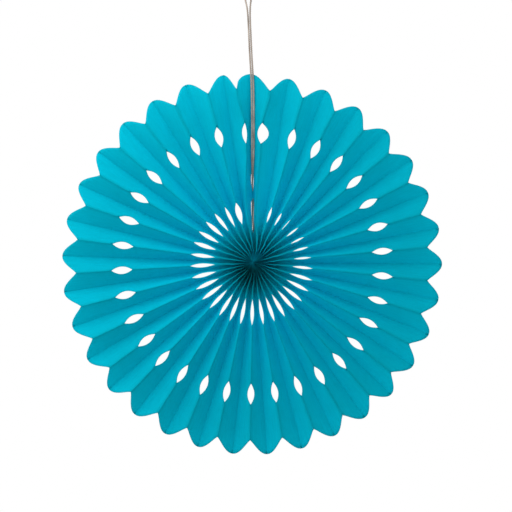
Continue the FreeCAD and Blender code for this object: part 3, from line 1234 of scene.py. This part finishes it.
def cotton_thread():
    """Cotton thread dyed like the paper: soft and matt, with a fine twist."""
    material, tree = new_material("cotton thread")
    place = add(tree, "ShaderNodeTexCoord").outputs["Object"]
    twist = add(
        tree,
        "ShaderNodeTexWave",
        {"Vector": place, "Scale": TWIST_SCALE, "Distortion": 2.0},
        bands_direction="DIAGONAL",
    ).outputs["Fac"]
    colour = add(
        tree,
        "ShaderNodeMix",
        {"Factor": twist, "A": linear(THREAD_SHADE), "B": linear(THREAD_LIGHT)},
        data_type="RGBA",
    )
    bump = add(tree, "ShaderNodeBump", {"Height": twist, "Strength": 0.4, "Distance": BUMP_DEPTH})
    shader = add(
        tree,
        "ShaderNodeBsdfPrincipled",
        {"Base Color": colour, "Roughness": 0.9, "Normal": bump},
    )
    add(tree, "ShaderNodeOutputMaterial", {"Surface": shader})
    return material


class PAPERFAN_OT_tie(bpy.types.Operator):
    """Gives the thread that ties the hub its cotton finish"""

    bl_idname = "paper_fan.tie"
    bl_label = "Centre tie"

    def execute(self, context):
        tie = bpy.data.objects["centre_tie"]
        tie.data.materials.clear()
        tie.data.materials.append(cotton_thread())
        return {"FINISHED"}


# The stage: a round floor, pale and matt, and two lamps half again as wide as the fan
FLOOR_RADIUS = 5.0
FLOOR_SIDES = 96
FLOOR_COLOUR = "#F4F4F2"
WHITE = "#FFFFFF"
LAMP_SIZE = 0.6
KEY_PLACE = (-0.18, -0.36, 0.30)
SIDE_PLACE = (-0.8, 0.0, 0.15)


class PAPERFAN_OT_stage(bpy.types.Operator):
    """Adds the floor, the even light all round and two large soft lamps"""

    bl_idname = "paper_fan.stage"
    bl_label = "Stage"

    def execute(self, context):
        settings = context.scene.stage_settings
        scene = context.scene
        scene.view_settings.view_transform = "Standard"

        corners = [math.tau * side / FLOOR_SIDES for side in range(FLOOR_SIDES)]
        rim = [
            (FLOOR_RADIUS * math.cos(a), FLOOR_RADIUS * math.sin(a), -settings.floor_drop)
            for a in corners
        ]
        mesh = bpy.data.meshes.new("floor")
        mesh.from_pydata(rim, [], [tuple(range(FLOOR_SIDES))])
        floor = bpy.data.objects.new("floor", mesh)
        scene.collection.objects.link(floor)
        material, tree = new_material("pale matt floor")
        shader = add(
            tree, "ShaderNodeBsdfPrincipled", {"Base Color": linear(FLOOR_COLOUR), "Roughness": 0.9}
        )
        add(tree, "ShaderNodeOutputMaterial", {"Surface": shader})
        mesh.materials.append(material)
        floor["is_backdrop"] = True

        world = bpy.data.worlds.new("studio")
        scene.world = world
        world.use_nodes = True
        tree = world.node_tree
        tree.nodes.clear()
        rays = add(tree, "ShaderNodeLightPath").outputs
        seen = rays["Is Camera Ray"]
        for kind in ("Is Glossy Ray", "Is Transmission Ray"):
            seen = add(tree, "ShaderNodeMath", {0: seen, 1: rays[kind]}, operation="MAXIMUM")
        white = linear(WHITE)
        light = add(
            tree, "ShaderNodeBackground", {"Color": white, "Strength": settings.sky_strength}
        )
        backdrop = add(tree, "ShaderNodeBackground", {"Color": white, "Strength": 1.0})
        mixed = add(tree, "ShaderNodeMixShader", {0: seen, 1: light, 2: backdrop})
        add(tree, "ShaderNodeOutputWorld", {"Surface": mixed})

        lamps = (
            ("key_lamp", KEY_PLACE, settings.key_power),
            ("side_lamp", SIDE_PLACE, settings.side_power),
        )
        for name, place, power in lamps:
            light = bpy.data.lights.new(name, "AREA")
            light.shape = "DISK"
            light.size = LAMP_SIZE
            light.energy = power
            lamp = bpy.data.objects.new(name, light)
            lamp.location = place
            lamp.rotation_euler = (-Vector(place)).to_track_quat("-Z", "Y").to_euler()
            scene.collection.objects.link(lamp)
        return {"FINISHED"}


STEPS = (
    PAPERFAN_OT_camera,
    PAPERFAN_OT_cord,
    PAPERFAN_OT_fan,
    PAPERFAN_OT_tie,
    PAPERFAN_OT_stage,
)
GROUPS = {"fan_sizes": FanSizes, "cord_sizes": CordSizes, "stage_settings": StageSettings}


class PAPERFAN_PT_pieces(bpy.types.Panel):
    """Lists the fan's sizes and the steps that make it"""

    bl_idname = "PAPERFAN_PT_pieces"
    bl_label = "Paper fan"
    bl_space_type = "VIEW_3D"
    bl_region_type = "UI"
    bl_category = "Paper fan"

    def draw(self, context):
        for group_name, group in GROUPS.items():
            box = self.layout.box()
            for name in group.__annotations__:
                box.prop(getattr(context.scene, group_name), name)
        for step in STEPS:
            self.layout.operator(step.bl_idname)


CLASSES = (*GROUPS.values(), *STEPS, PAPERFAN_PT_pieces)


def register():
    for item in CLASSES:
        bpy.utils.register_class(item)
    for name, group in GROUPS.items():
        setattr(bpy.types.Scene, name, bpy.props.PointerProperty(type=group))


def unregister():
    for name in GROUPS:
        delattr(bpy.types.Scene, name)
    for item in reversed(CLASSES):
        bpy.utils.unregister_class(item)


def main():
    register()
    bpy.ops.paper_fan.camera()
    bpy.ops.paper_fan.cord()
    bpy.ops.paper_fan.fan()
    bpy.ops.paper_fan.tie()
    bpy.ops.paper_fan.stage()
    visual_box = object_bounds()
    sizes = {
        name: [[round(value, 5) for value in corner] for corner in box]
        for name, box in (("cad", cad_box), ("visual", visual_box))
    }


if __name__ == "__main__":
    main()
